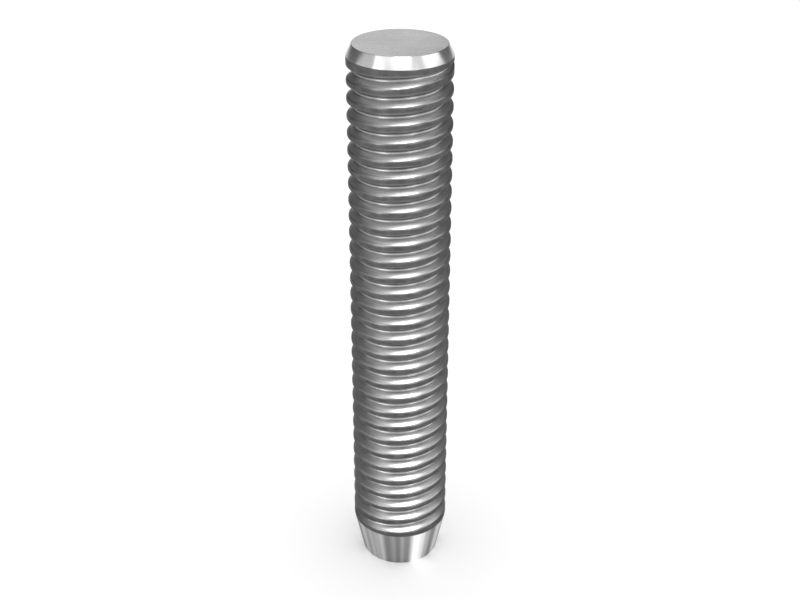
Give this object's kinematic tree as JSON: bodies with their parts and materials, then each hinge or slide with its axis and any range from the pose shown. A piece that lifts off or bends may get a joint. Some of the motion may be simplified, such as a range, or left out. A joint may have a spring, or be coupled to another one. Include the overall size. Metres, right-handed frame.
{
  "type": "taper lock stud",
  "caption": "Fully threaded round steel stud, chamfered at its nut end and tapered at the end that locks in a tapped hole.",
  "frame": {"origin": "centre of the small end of the taper, on which the stud stands", "axes": "+Z along the stud's axis, from the tapered lock end to the chamfered nut end; the thread groove starts at the front, -Y"},
  "size_m": [0.0058, 0.0058, 0.0335],
  "materials": {
    "steel": "plain machined steel with a rolled thread"
  },
  "bodies": {
    "root": {"taper_lock_stud": "steel"}
  },
  "joints": []
}
